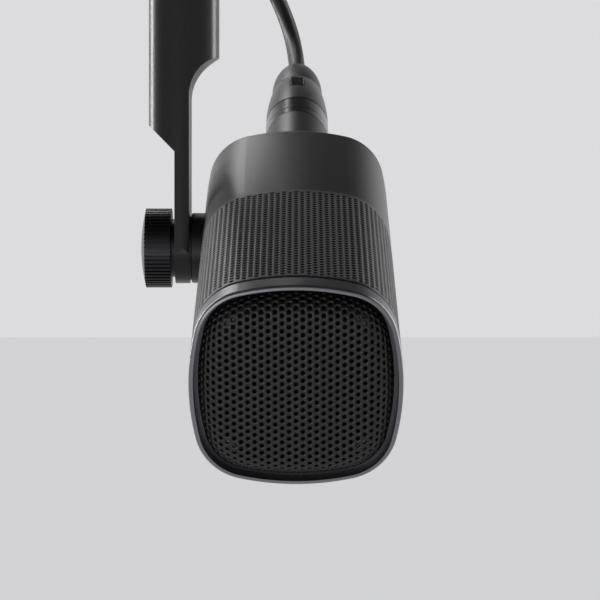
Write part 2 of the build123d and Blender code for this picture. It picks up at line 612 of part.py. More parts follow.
def contact_pins(start, length, base, name):
    """Three round pins with chamfered tips."""
    with BuildPart() as pins:
        with BuildSketch(base.offset(start)):
            with PolarLocations(CONTACT_RADIUS, 3, start_angle=90):
                Circle(PIN_RADIUS)
        extrude(amount=length)
        chamfer(pins.faces().sort_by(Axis(base.origin, base.z_dir))[:3].edges(), PIN_RADIUS / 3)
    save(pins, name)


socket_insert(INSERT_FACE, (INSERT_THICKNESS, TAIL_RADIUS - TAIL_WALL - SEAT_GAP), MIC, "tail_insert")
contact_pins(TAIL_END + PIN_RECESS, PIN_LENGTH + INSERT_THICKNESS + SOLDER_CUP, MIC, "tail_pins")


# ---- cable socket plugged into the tail: ring, collar, shell with its latch, boot ----
def plug_shell(length, radius, end_radius, wall, base, start, name, slot=None):
    """Turned shell that narrows in a slight curve towards the boot."""
    with BuildPart() as shell:
        with BuildSketch(Plane(base.origin, x_dir=base.x_dir, z_dir=-base.y_dir)):
            with BuildLine():
                mouth = (radius, start)
                tail = (end_radius, start + length)
                middle = ((radius + end_radius) / 2 + 0.4, start + length * 0.55)
                ThreePointArc(mouth, middle, tail)
                Polyline(tail, (end_radius - wall, start + length))
                ThreePointArc(
                    (end_radius - wall, start + length), (middle[0] - wall, middle[1]), (radius - wall, start)
                )
                Polyline((radius - wall, start), mouth)
            make_face()
        revolve(axis=Axis(base.origin, base.z_dir))
        if slot:
            with BuildSketch(Plane(base.origin, x_dir=base.x_dir, z_dir=-base.y_dir)):
                with Locations((0, slot[0] + slot[2] / 2)):
                    Rectangle(slot[1], slot[2])
            extrude(amount=2 * radius, mode=Mode.SUBTRACT)
    save(shell, name)


def plug_boot(length, radius, mouth, base, start, name):
    """Bullet shaped cap that grips the cable."""
    with BuildPart() as boot:
        with BuildSketch(Plane(base.origin, x_dir=base.x_dir, z_dir=-base.y_dir)):
            with BuildLine():
                root = (radius, start)
                tip = (mouth, start + length)
                ThreePointArc(root, ((radius + mouth) / 2 + BOOT_BULGE, start + length * 0.55), tip)
                Polyline(tip, (0, start + length), (0, start), root)
            make_face()
        revolve(axis=Axis(base.origin, base.z_dir))
    save(boot, name)


BACK = Plane(MIC.origin, x_dir=MIC.x_dir, z_dir=-MIC.z_dir)
PLUG_START = -TAIL_END
COLLAR_START = PLUG_START + RING_LENGTH
SHELL_START = COLLAR_START + COLLAR_LENGTH + GROOVE
BOOT_START = SHELL_START + SHELL_LENGTH
CABLE_START = BOOT_START + BOOT_LENGTH
for name, start, length, edge in (
    ("plug_ring", PLUG_START, RING_LENGTH - GROOVE, 0.4),
    ("plug_collar", COLLAR_START - GROOVE, COLLAR_LENGTH + GROOVE, 0.6),
):
    with BuildPart() as turned:
        with BuildSketch(BACK.offset(start)):
            ring(PLUG_RADIUS, NOSE_RADIUS + SEAT_GAP)
        extrude(amount=length)
        fillet(turned.edges().filter_by(GeomType.CIRCLE).group_by(SortBy.RADIUS)[-1], edge)
    save(turned, name)

NOSE_START = PLUG_START - NOSE_LENGTH
with BuildPart() as plug_insert:
    with BuildSketch(BACK.offset(NOSE_START)):
        Circle(NOSE_RADIUS)
        with PolarLocations(CONTACT_RADIUS, 3, start_angle=-90):
            Circle(PIN_RADIUS + RUNNING_GAP, mode=Mode.SUBTRACT)
    extrude(amount=NOSE_LENGTH + RING_LENGTH + COLLAR_LENGTH)
save(plug_insert, "plug_insert")
plug_shell(
    SHELL_LENGTH,
    PLUG_RADIUS,
    SHELL_END_RADIUS,
    PLUG_WALL,
    BACK,
    SHELL_START,
    "plug_shell",
    (SHELL_START + SHELL_LENGTH / 2, LATCH_WIDTH + 2 * LATCH_GAP, LATCH_LENGTH + 2 * LATCH_GAP),
)
with BuildPart() as latch_button:
    LATCH_TOP = (PLUG_RADIUS + SHELL_END_RADIUS) / 2 - LATCH_SINK + LATCH_PROUD
    LATCH_FOOT = LATCH_TOP - LATCH_PROUD - LATCH_HEIGHT
    with BuildSketch(Plane(BACK.origin, x_dir=BACK.x_dir, z_dir=-BACK.y_dir).offset(LATCH_FOOT)):
        with Locations((0, SHELL_START + SHELL_LENGTH / 2 + LATCH_LENGTH / 2 + LATCH_GAP)):
            RectangleRounded(LATCH_WIDTH, LATCH_LENGTH, 0.6)
    extrude(amount=LATCH_TOP - LATCH_FOOT)
    fillet(latch_button.faces().sort_by(Axis(BACK.origin, -BACK.y_dir))[-1].edges(), 0.35)
save(latch_button, "latch_button")
with BuildPart() as cable_grip:
    with BuildSketch(BACK.offset(BOOT_START - GRIP_LENGTH)):
        ring(SHELL_END_RADIUS - PLUG_WALL - GRIP_GAP, CABLE_DIAMETER / 2 + SEAT_GAP)
    extrude(amount=GRIP_LENGTH)
save(cable_grip, "cable_grip")
plug_boot(BOOT_LENGTH, SHELL_END_RADIUS - 0.2, BOOT_MOUTH, BACK, BOOT_START, "plug_boot")


# ---- cable: a free loop to the arm, a tied coil, and a short end to the far plug ----
COIL_Y = ARM_RADIUS + COIL_GAP + COIL_BUNDLE + COIL_RADIUS
COIL_CENTER = PIVOT + Vector(0, COIL_Y, COIL_HEIGHT)
LANE = CABLE_DIAMETER / 2
FAR_X = -16.9
FAR_Y = 11.7
FAR_START = 156.0           # far end of its cable, above the pivot


def cable_tube(route, name):
    """Straight runs joined by tangent arcs, each as large as its two runs allow."""
    points = [PIVOT + Vector(*place) for place in route]
    runs = [after - before for before, after in zip(points, points[1:])]
    radii = []
    for before, after in zip(runs, runs[1:]):
        turn = math.radians(before.get_angle(after))
        radii.append(0.45 * min(before.length, after.length) / math.tan(turn / 2))
    with BuildPart() as tube:
        with BuildLine() as path:
            FilletPolyline(*points, radius=radii)
        with BuildSketch(Plane(origin=points[0], z_dir=runs[0])):
            Circle(LANE)
        sweep(path=path.wires()[0])
    length = path.wires()[0].length
    print(name, "radii", [round(radius) for radius in radii])
    print(name, "length", round(length), "volume share", tube.part.volume / (math.pi * LANE ** 2 * length))
    save(tube, name)
    return length


CABLE_EXIT = BACK.offset(CABLE_START).origin - PIVOT
LEAD_ROUTE = [
    tuple(CABLE_EXIT),
    (BODY_OFFSET, 199.04, 74.42),
    (30.0, 211.5, 91.0),
    (19.0, 214.0, 114.0),
    (14.5, 208.0, 153.0),
    (14.5, 188.0, 192.0),
    (15.0, 150.0, 216.0),
    (12.5, 112.0, 208.0),
    (5.0, 95.5, 174.0),
    (2.0, 92.85, 145.0),
]
TAIL_ROUTE = [
    (-6.0, 59.0, 109.0),
    (-11.0, 32.0, 109.0),
    (FAR_X, FAR_Y, 129.3),
    (FAR_X, FAR_Y, FAR_START),
]
lead_length = cable_tube(LEAD_ROUTE, "cable_lead")
tail_length = cable_tube(TAIL_ROUTE, "cable_tail")
with BuildPart() as cable_coil:
    with BuildSketch(Plane(origin=COIL_CENTER + Vector(0, COIL_RADIUS, 0), x_dir=(1, 0, 0), z_dir=(0, 0, 1))):
        Circle(COIL_BUNDLE)
    revolve(axis=Axis(COIL_CENTER, (1, 0, 0)))
save(cable_coil, "cable_coil")
turns_length = COIL_TURNS * 2 * math.pi * COIL_RADIUS
print("cable length", round(lead_length + tail_length + turns_length))

with BuildPart() as cable_tie:
    TIE_BULGE = (TIE_WIDTH / 2) ** 2 / (2 * COIL_RADIUS)     # the turns curve away inside the tie
    TIE_BASE = Plane.XY.offset(-ARM_RISE + COIL_HEIGHT - TIE_WIDTH / 2)
    with BuildSketch(TIE_BASE, mode=Mode.PRIVATE) as bundle:
        Circle(ARM_RADIUS + TIE_GAP)
        with Locations((0, COIL_Y - COIL_RADIUS)):
            Circle(COIL_BUNDLE + TIE_BULGE + TIE_GAP)
        with Locations((FAR_X, FAR_Y)):
            Circle(LANE + TIE_GAP)
    with BuildSketch(TIE_BASE) as band:
        make_hull(bundle.edges())
        offset(amount=TIE_THICKNESS)
    extrude(amount=TIE_WIDTH)
    with BuildSketch(TIE_BASE):
        make_hull(bundle.edges())
    extrude(amount=TIE_WIDTH, mode=Mode.SUBTRACT)
save(cable_tie, "cable_tie")

# ---- far end: cable plug with three pins inside its shell ----
FAR = Plane(origin=PIVOT + Vector(FAR_X, FAR_Y, FAR_START), x_dir=(1, 0, 0), z_dir=(0, 0, -1))
plug_boot(FAR_BOOT_LENGTH, FAR_RADIUS - 0.8, BOOT_MOUTH, FAR, -FAR_BOOT_LENGTH, "far_boot")
FAR_SHELL = -FAR_BOOT_LENGTH - FAR_SHELL_LENGTH
plug_shell(FAR_SHELL_LENGTH, FAR_RADIUS, FAR_RADIUS - 0.6, PLUG_WALL, FAR, FAR_SHELL, "far_shell")
with BuildPart() as far_socket:
    with BuildSketch(FAR.offset(FAR_SHELL - FAR_SOCKET_LENGTH)):
        ring(FAR_RADIUS, FAR_RADIUS - FAR_SOCKET_WALL)
    extrude(amount=FAR_SOCKET_LENGTH)
    fillet(far_socket.faces().sort_by(Axis.Z)[-1].edges(), 0.4)
save(far_socket, "far_socket")
FAR_INSERT = FAR_SHELL - INSERT_THICKNESS
socket_insert(FAR_INSERT, (INSERT_THICKNESS, FAR_RADIUS - FAR_SOCKET_WALL - SEAT_GAP), FAR, "far_insert")
contact_pins(FAR_INSERT - PIN_LENGTH, PIN_LENGTH + INSERT_THICKNESS + SOLDER_CUP, FAR, "far_pins")
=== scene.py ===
# %% [markdown]
# # Ribbon microphone on a side arm
# This lesson dresses an end-address ribbon microphone, its hanger arm and its cable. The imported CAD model
# comes in first as a fixed frame: each of its nodes already stands in its true place, in metres.

# %% Load the frame
import json
import math

import bmesh
import bpy
from mathutils import Matrix, Vector
from mathutils.geometry import delaunay_2d_cdt


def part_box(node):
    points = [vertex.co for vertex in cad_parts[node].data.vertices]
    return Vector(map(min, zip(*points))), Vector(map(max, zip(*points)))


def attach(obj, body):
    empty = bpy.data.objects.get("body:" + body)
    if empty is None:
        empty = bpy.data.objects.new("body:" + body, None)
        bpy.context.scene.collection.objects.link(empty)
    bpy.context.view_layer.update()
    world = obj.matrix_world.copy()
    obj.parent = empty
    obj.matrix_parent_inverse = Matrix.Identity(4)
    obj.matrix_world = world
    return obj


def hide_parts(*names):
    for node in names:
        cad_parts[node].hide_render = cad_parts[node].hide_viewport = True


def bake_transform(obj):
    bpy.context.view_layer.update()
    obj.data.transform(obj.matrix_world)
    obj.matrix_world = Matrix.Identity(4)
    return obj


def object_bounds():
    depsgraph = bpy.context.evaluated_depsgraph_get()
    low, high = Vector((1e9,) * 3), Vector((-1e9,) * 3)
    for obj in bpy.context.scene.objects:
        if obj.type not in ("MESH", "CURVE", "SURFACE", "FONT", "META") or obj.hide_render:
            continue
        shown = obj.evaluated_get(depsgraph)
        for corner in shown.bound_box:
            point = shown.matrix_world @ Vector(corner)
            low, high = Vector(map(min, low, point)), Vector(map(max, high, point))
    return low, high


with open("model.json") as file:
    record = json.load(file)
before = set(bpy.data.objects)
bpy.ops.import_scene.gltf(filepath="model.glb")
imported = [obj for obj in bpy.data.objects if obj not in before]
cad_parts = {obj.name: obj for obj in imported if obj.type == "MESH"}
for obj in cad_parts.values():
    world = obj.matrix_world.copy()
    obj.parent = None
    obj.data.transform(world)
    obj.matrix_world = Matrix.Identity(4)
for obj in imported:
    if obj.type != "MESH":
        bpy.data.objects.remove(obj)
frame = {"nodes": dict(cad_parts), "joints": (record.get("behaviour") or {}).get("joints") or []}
cad_box = [list(corner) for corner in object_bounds()]
nodes = frame["nodes"]
joints = {joint["name"]: joint for joint in frame["joints"]}
print("nodes", len(nodes), "box", cad_box)

# %% [markdown]
# The microphone hangs tilted, so it has axes of its own. The tilt joint gives the pivot, and the sleeve's
# sides, which stand upright, give the place of the microphone's axis beside it.

# %% The microphone's own axes
MM = 0.001
TILT = math.radians(20.5)
FORWARD = Vector((0, -math.cos(TILT), -math.sin(TILT)))
UPWARD = Vector((0, -math.sin(TILT), math.cos(TILT)))
SIDEWAYS = Vector((1, 0, 0))
pivot = Vector(joints["tilt"]["pos_m"])
sleeve_low, sleeve_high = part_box("perforated_sleeve")
mic_origin = pivot + SIDEWAYS * ((sleeve_low.x + sleeve_high.x) / 2 - pivot.x)
MIC = Matrix.Translation(mic_origin) @ Matrix((SIDEWAYS, UPWARD, FORWARD)).transposed().to_4x4()
print("pivot", tuple(pivot), "axis at x", round(mic_origin.x, 4))

# %% [markdown]
# The camera stands level with the middle of the microphone, three quarters of a metre in front of the pivot,
# with a long lens, as a product photographer would set it to keep the body's sides nearly parallel.

# %% Camera
CAMERA_DISTANCE = 0.7774
CAMERA_DROP = 0.01555
CAMERA_ASIDE = 0.00104
camera_data = bpy.data.cameras.new("camera")
camera_data.sensor_width = 36
camera_data.lens = 156
camera = bpy.data.objects.new("camera", camera_data)
camera.location = mic_origin + Vector((CAMERA_ASIDE, -CAMERA_DISTANCE, -CAMERA_DROP))
camera.rotation_euler = (math.pi / 2, 0, 0)
bpy.context.scene.collection.objects.link(camera)
bpy.context.scene.camera = camera
print("camera", tuple(round(v, 4) for v in camera.location))


# %% [markdown]
# Materials are built from nodes. Two helpers are enough: one turns an sRGB hex colour to the linear values
# that Blender wants, and one adds a node with its settings and links.

# %% Material helpers
def linear(hex_colour):
    """An sRGB colour such as "#202022" as linear red, green, blue and alpha."""
    channels = [int(hex_colour[i:i + 2], 16) / 255 for i in (1, 3, 5)]
    return [c / 12.92 if c <= 0.04045 else ((c + 0.055) / 1.055) ** 2.4 for c in channels] + [1.0]


def add_node(material, kind, settings=None, **links):
    """Adds a node. settings sets its properties and unlinked sockets, links joins sockets by name."""
    node = material.node_tree.nodes.new(kind)
    for key, value in (settings or {}).items():
        if key in node.inputs:
            node.inputs[key].default_value = value
        else:
            setattr(node, key, value)
    for key, source in links.items():
        material.node_tree.links.new(source, node.inputs[key.replace("_", " ")])
    return node


def start_material(name, colour, metallic, roughness, **sockets):
    """A Principled material with its plain values set, and its shader node."""
    material = bpy.data.materials.new(name)
    material.use_nodes = True
    shader = material.node_tree.nodes["Principled BSDF"]
    shader.inputs["Base Color"].default_value = linear(colour)
    shader.inputs["Metallic"].default_value = metallic
    shader.inputs["Roughness"].default_value = roughness
    for key, value in sockets.items():
        shader.inputs[key.replace("_", " ")].default_value = value
    return material, shader


def surface_grain(material, shader, grain_mm, roughness, spread, colours, bump_um=4.0, stretch=(1, 1, 1)):
    """Fine irregular grain: mottles the colour, breaks up the gloss and raises a shallow bump."""
    place = add_node(material, "ShaderNodeTexCoord")
    turned = add_node(material, "ShaderNodeMapping", {"Scale": stretch}, Vector=place.outputs["Object"])
    noise = add_node(
        material,
        "ShaderNodeTexNoise",
        {"Scale": 1000 / grain_mm, "Detail": 3.0},
        Vector=turned.outputs["Vector"],
    )
    gloss = add_node(
        material,
        "ShaderNodeMapRange",
        {"To Min": roughness - spread, "To Max": roughness + spread},
        Value=noise.outputs["Fac"],
    )
    tint = add_node(material, "ShaderNodeValToRGB", None, Fac=noise.outputs["Fac"])
    tint.color_ramp.elements[0].position = 0.3
    tint.color_ramp.elements[0].color = linear(colours[0])
    tint.color_ramp.elements[1].position = 0.7
    tint.color_ramp.elements[1].color = linear(colours[1])
    bump = add_node(
        material,
        "ShaderNodeBump",
        {"Strength": 0.35, "Distance": bump_um * 1e-6},
        Height=noise.outputs["Fac"],
    )
    links = material.node_tree.links
    links.new(gloss.outputs["Result"], shader.inputs["Roughness"])
    links.new(tint.outputs["Color"], shader.inputs["Base Color"])
    links.new(bump.outputs["Normal"], shader.inputs["Normal"])
    return material

# %% [markdown]
# The case and the arm are black anodised aluminium. Blasting before the dye leaves a very fine grain, so
# lamps spread into soft streaks instead of sharp reflections. The bezel is finished a shade lighter.

# %% Anodised aluminium
anodised, shader = start_material("black_anodised_aluminium", "#1b1b1d", 0.55, 0.36)
surface_grain(anodised, shader, 0.4, 0.36, 0.05, ("#19191b", "#202022"))
arm_finish, shader = start_material("black_anodised_rod", "#18181a", 0.55, 0.3)
surface_grain(arm_finish, shader, 0.5, 0.3, 0.04, ("#161618", "#1d1d1f"), stretch=(1, 1, 0.15))
bezel_finish, shader = start_material("graphite_anodised_bezel", "#525255", 0.8, 0.33)
surface_grain(bezel_finish, shader, 0.3, 0.33, 0.04, ("#4e4e51", "#58585b"))
knob_finish, shader = start_material("turned_anodised_knob", "#232325", 0.7, 0.32)
surface_grain(knob_finish, shader, 0.3, 0.32, 0.05, ("#202022", "#28282b"))

# %% [markdown]
# The perforated sheets are steel with a baked black coat. Powder coat has a faint orange peel about a
# millimetre across, and it stays darker and duller than the anodised parts around it.

# %% Coated steel
sleeve_coat, shader = start_material("coated_perforated_steel", "#1c1c1e", 0.3, 0.42)
surface_grain(sleeve_coat, shader, 0.9, 0.42, 0.05, ("#1a1a1c", "#212123"))
grille_coat, shader = start_material("powder_coated_grille", "#101011", 0.2, 0.45)
surface_grain(grille_coat, shader, 0.8, 0.45, 0.06, ("#0e0e0f", "#141415"))
black_chrome, shader = start_material("black_chrome_plating", "#1e1e20", 0.9, 0.18)
surface_grain(black_chrome, shader, 0.5, 0.18, 0.03, ("#1c1c1e", "#222224"), bump_um=1.0)
shell_coat, shader = start_material("satin_black_shell", "#202022", 0.5, 0.32)
surface_grain(shell_coat, shader, 0.4, 0.32, 0.04, ("#1e1e20", "#252527"))

# %% [markdown]
# Rubber and plastic parts are not metals: they reflect a little white light over a black body. A cable
# jacket is soft and slightly greasy, a connector boot is moulded with a fine spark-eroded texture.

# %% Rubber, plastics and cloth
jacket, shader = start_material("black_pvc_jacket", "#101011", 0.0, 0.42)
surface_grain(jacket, shader, 1.2, 0.42, 0.07, ("#0e0e0f", "#151516"))
boot_rubber, shader = start_material("moulded_black_boot", "#1d1d1f", 0.0, 0.4)
surface_grain(boot_rubber, shader, 0.25, 0.4, 0.05, ("#1b1b1d", "#232325"), bump_um=8.0)
mount_rubber, shader = start_material("soft_black_rubber", "#121213", 0.0, 0.6)
surface_grain(mount_rubber, shader, 0.4, 0.6, 0.06, ("#101011", "#171718"), bump_um=8.0)
insulator, shader = start_material("glass_filled_nylon", "#161617", 0.0, 0.45)
surface_grain(insulator, shader, 0.3, 0.45, 0.05, ("#141415", "#1b1b1c"))
foam_finish, shader = start_material("open_cell_foam", "#0b0b0c", 0.0, 0.95)
surface_grain(foam_finish, shader, 0.6, 0.92, 0.05, ("#050505", "#161617"), bump_um=150.0)
cloth, shader = start_material("acoustic_cloth", "#0a0a0b", 0.0, 0.9)
surface_grain(cloth, shader, 0.25, 0.9, 0.05, ("#070708", "#111112"), bump_um=40.0)
tie_cloth, shader = start_material("hook_and_loop_cloth", "#121213", 0.0, 0.85, Sheen_Weight=0.3)
surface_grain(tie_cloth, shader, 0.35, 0.85, 0.08, ("#0c0c0d", "#1c1c1e"), bump_um=120.0)

# %% [markdown]
# Bright metals show inside the mouths of the arm and the plug and through the grille: turned brass, gold
# flashed pins, plated steel, and the nickel on the magnets.

# %% Bright metals
brass, shader = start_material("turned_brass", "#b08d4c", 1.0, 0.3)
surface_grain(brass, shader, 0.4, 0.3, 0.06, ("#a58243", "#b99653"), stretch=(1, 1, 6))
gold, shader = start_material("gold_flashed_brass", "#c9a557", 1.0, 0.22)
surface_grain(gold, shader, 0.5, 0.22, 0.04, ("#c09b4c", "#d1ae62"), bump_um=1.0)
steel, shader = start_material("plated_steel", "#8f9093", 1.0, 0.33)
surface_grain(steel, shader, 0.4, 0.33, 0.06, ("#85868a", "#9a9b9e"))
nickel, shader = start_material("nickel_plated_magnet", "#a6a5a2", 1.0, 0.2)
surface_grain(nickel, shader, 0.8, 0.2, 0.04, ("#9d9c99", "#aeadab"), bump_um=1.0)
foil, shader = start_material("aluminium_foil", "#d5d6d8", 1.0, 0.25)
surface_grain(foil, shader, 0.3, 0.25, 0.08, ("#cbccce", "#dedfe0"))
raw_aluminium, shader = start_material("milled_aluminium", "#a9aaad", 1.0, 0.36)
surface_grain(raw_aluminium, shader, 0.3, 0.36, 0.06, ("#a0a1a4", "#b3b4b7"), stretch=(8, 1, 1))
winding, shader = start_material("enamelled_copper_wire", "#8a4b22", 0.7, 0.35)
surface_grain(winding, shader, 0.3, 0.35, 0.08, ("#7a4019", "#9a572b"), bump_um=40.0, stretch=(0.1, 0.1, 1))
materials = [m for m in bpy.data.materials if m.use_nodes]
print("materials", len(materials))

# %% [markdown]
# Each CAD node keeps its shape and takes the finish of the real piece.

# %% Finishes of the CAD nodes
FINISHES = {
    anodised: ["rear_housing", "tail_tube", "pivot_boss"],
    arm_finish: ["hanger_arm"],
    bezel_finish: ["bezel_ring"],
    knob_finish: ["clamp_knob", "clamp_collar"],
    sleeve_coat: ["perforated_sleeve"],
    grille_coat: ["grille_cap"],
    black_chrome: ["plug_ring", "plug_collar", "far_socket", "latch_button"],
    shell_coat: ["plug_shell", "far_shell"],
    boot_rubber: ["plug_boot", "far_boot"],
    mount_rubber: ["rubber_mounts"],
    insulator: ["friction_washer", "tail_insert", "plug_insert", "far_insert", "cable_grip"],
    foam_finish: ["grille_foam"],
    cloth: ["sleeve_liner"],
    tie_cloth: ["cable_tie"],
    brass: ["thread_insert", "ribbon_clamps", "clamp_screws"],
    gold: ["tail_pins", "far_pins"],
    steel: [
        "boss_nut", "clamp_stud", "tie_rods", "tie_screws", "magnet_yoke", "pole_piece_left",
        "pole_piece_right", "transformer_core",
    ],
    nickel: ["magnet_left", "magnet_right"],
    foil: ["ribbon"],
    raw_aluminium: ["motor_carrier"],
    winding: ["transformer_winding"],
    jacket: ["cable_lead", "cable_coil", "cable_tail"],
}
for finish, names in FINISHES.items():
    for name in names:
        mesh = nodes[name].data
        mesh.materials.clear()
        mesh.materials.append(finish)
print("finished", sum(len(names) for names in FINISHES.values()), "of", len(nodes))

# %% [markdown]
# ## The cable
# A microphone lead is two metres of soft cable. It leaves the plug, bends up and leans towards the arm,
# arches over and goes into a tied coil behind the arm. One NURBS spline carries it: the listed points of
# the free loop, the turns of the coil from a loop, and the points of the short end to the far plug. The
# coil's eight strands lie as seven around one, each a cable's width from its neighbours.

# %% Cable route
CABLE = 6 * MM
COIL_RADIUS = 36 * MM
COIL_TURNS = 7.25
POINTS_PER_TURN = 16
STRAND_RING = 6.95 * MM
FIRST_STRAND = 115.7            # degrees round the bundle
BOOT_END = 190.5 * MM           # behind the pivot
LEAD_ROUTE = [
    (33.6, 199.04, 74.42),
    (30.0, 211.5, 91.0),
    (19.0, 214.0, 114.0),
    (14.5, 208.0, 153.0),
    (14.5, 188.0, 192.0),
    (15.0, 150.0, 216.0),
    (12.5, 112.0, 208.0),
    (5.0, 97.5, 174.0),
]
TAIL_ROUTE = [(-11.0, 32.0, 109.0), (-16.9, 11.7, 129.3)]
coil_low, coil_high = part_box("cable_coil")
coil_center = (coil_low + coil_high) / 2
tail_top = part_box("cable_tail")[1].z
cable_exit = MIC @ Vector((0, 0, -BOOT_END))
seven_around = [
    (STRAND_RING * math.cos(angle), STRAND_RING * math.sin(angle))
    for angle in (math.radians(FIRST_STRAND - 360 / 7 * step) for step in range(7))
]
STRANDS = seven_around[:4] + [(0.0, 0.0)] + seven_around[4:]
route = [cable_exit] + [pivot + Vector(place) * MM for place in LEAD_ROUTE]
for step in range(int(COIL_TURNS * POINTS_PER_TURN) + 1):
    turns = step / POINTS_PER_TURN
    lane = min(turns / COIL_TURNS * (len(STRANDS) - 1), len(STRANDS) - 1.001)
    share = lane % 1
    share = share * share * (3 - 2 * share)
    before, after = STRANDS[int(lane)], STRANDS[int(lane) + 1]
    across = before[0] + (after[0] - before[0]) * share
    radius = COIL_RADIUS + before[1] + (after[1] - before[1]) * share
    angle = -2 * math.pi * turns
    route.append(coil_center + Vector((across, radius * math.cos(angle), radius * math.sin(angle))))
route += [pivot + Vector(place) * MM for place in TAIL_ROUTE]
route.append(Vector((route[-1].x, route[-1].y, tail_top)))
print("route points", len(route))


# %% [markdown]
# The curve is drawn twice: bare, for the line that the cable follows, and with a round bevel, for the
# jacket, which is kept as a mesh.


def spline_mesh(name, points, radius, resolution=5):
    """One open NURBS spline through its control points, as a mesh: a line, or a tube when radius is set."""
    curve = bpy.data.curves.new(name, "CURVE")
    curve.dimensions = "3D"
    curve.resolution_u = resolution
    curve.bevel_depth = radius
    curve.bevel_resolution = 4
    curve.use_fill_caps = radius > 0
    spline = curve.splines.new("NURBS")
    spline.points.add(len(points) - 1)
    for point, place in zip(spline.points, points):
        point.co = (*place, 1)
    spline.order_u = 3
    spline.use_endpoint_u = True
    holder = bpy.data.objects.new(name, curve)
    bpy.context.scene.collection.objects.link(holder)
    bpy.context.view_layer.update()
    mesh = bpy.data.meshes.new_from_object(holder.evaluated_get(bpy.context.evaluated_depsgraph_get()))
    bpy.data.objects.remove(holder)
    return mesh


def add_piece(name, mesh, finish, smooth_angle=None):
    """Puts a finished mesh in the scene under a plain name, with its finish and its shading."""
    mesh.name = name
    piece = bpy.data.objects.new(name, mesh)
    bpy.context.scene.collection.objects.link(piece)
    mesh.materials.clear()
    mesh.materials.append(finish)
    if smooth_angle is not None:
        mesh.shade_smooth()
        mesh.set_sharp_from_angle(angle=math.radians(smooth_angle))
    return piece


cable_line = [vertex.co.copy() for vertex in spline_mesh("cable_line", route, 0).vertices]
cable_length = sum((b - a).length for a, b in zip(cable_line, cable_line[1:]))
cable = add_piece("cable_jacket", spline_mesh("cable_jacket", route, CABLE / 2), jacket, 60)
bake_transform(cable)
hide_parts("cable_lead", "cable_coil", "cable_tail")
print("cable length", round(cable_length, 3))

# %% [markdown]
# The bezel's faces that look forward, near its front edge, take a paler colour than its side: a painted
# highlight for the light from the front.

# %% Painted highlight on the lip
lip_highlight_paint, shader = start_material("bright_cut_lip", "#77777b", 0.9, 0.3)
surface_grain(lip_highlight_paint, shader, 0.3, 0.3, 0.04, ("#727276", "#7d7d81"))
bezel = nodes["bezel_ring"].data
bezel.materials.append(lip_highlight_paint)
LIP_BACK = 107.5 * MM
LEAST_FACING = 0.25             # share of a face's normal that looks forward
highlighted_faces = 0
for face in bezel.polygons:
    ahead = (face.center - mic_origin).dot(FORWARD)
    if ahead > LIP_BACK and face.normal.dot(FORWARD) > LEAST_FACING:
        # painted highlight: forward-facing lip faces take the paler colour
        face.material_index = 1
        highlighted_faces += 1
print("cut faces", highlighted_faces)

# %% [markdown]
# ## The case's section
# The case is a rounded square made of four shallow arcs and four tight ones that run smoothly into each
# other. Both perforated sheets follow it: the sleeve at full size, the grille a little smaller. Two questions
# have to be answered about it: where a point lies that is a given distance round, and how far inside the edge
# a given point of the plane is.

# %% Rounded square
SIDE_RADIUS = 67 * MM
CORNER_RADIUS = 15 * MM
HALF_WIDTH = (sleeve_high.x - sleeve_low.x) / 2
side_center = SIDE_RADIUS - HALF_WIDTH
corner_center = (math.sqrt(2 * (SIDE_RADIUS - CORNER_RADIUS) ** 2 - side_center**2) - side_center) / 2
side_angle = math.atan2(corner_center, corner_center + side_center)
side_run = SIDE_RADIUS * side_angle
corner_run = CORNER_RADIUS * (math.pi / 2 - 2 * side_angle)
quarter_run = 2 * side_run + corner_run


def around(distance):
    """The point of the section, and the way out from it, that far round from the middle of the top."""
    quarter, rest = divmod(distance, quarter_run)
    if rest < side_run:
        angle, radius, center = rest / SIDE_RADIUS, SIDE_RADIUS, (0, -side_center)
    elif rest < side_run + corner_run:
        angle = side_angle + (rest - side_run) / CORNER_RADIUS
        radius, center = CORNER_RADIUS, (corner_center, corner_center)
    else:
        angle = math.pi / 2 - (quarter_run - rest) / SIDE_RADIUS
        radius, center = SIDE_RADIUS, (-side_center, 0)
    out = Vector((math.sin(angle), math.cos(angle)))
    turn = Matrix.Rotation(-quarter * math.pi / 2, 2)
    return turn @ (Vector(center) + out * radius), turn @ out


def inside(point):
    """How far inside the section's edge a point of the plane is, and the way out to the edge."""
    folded = Vector((abs(point.x), abs(point.y)))
    from_corner = folded - Vector((corner_center, corner_center))
    bearing = math.atan2(from_corner.x, from_corner.y)
    if side_angle < bearing < math.pi / 2 - side_angle:
        depth, out = CORNER_RADIUS - from_corner.length, from_corner
    elif folded.x > folded.y:
        out = folded + Vector((side_center, 0))
        depth = SIDE_RADIUS - out.length
    else:
        out = folded + Vector((0, side_center))
        depth = SIDE_RADIUS - out.length
    out = Vector((math.copysign(out.x, point.x), math.copysign(out.y, point.y)))
    return depth, out.normalized()


print("section", round(2 * HALF_WIDTH / MM, 2), "mm wide,", round(4 * quarter_run / MM, 1), "mm round")


# %% [markdown]
# ## Perforated sheet
# Perforated sheet is punched in staggered columns. Each hole gets its own little cell of the flat sheet:
# eight corner points round an eight-sided hole, joined by eight faces. Cells share their corner points, so
# a thousand of them make one clean sheet, which can then be wrapped or pressed.

# %% Flat sheet
AROUND_CELL = ((0, 0), (1, 0), (2, 0), (2, 1), (2, 2), (1, 2), (0, 2), (0, 1))


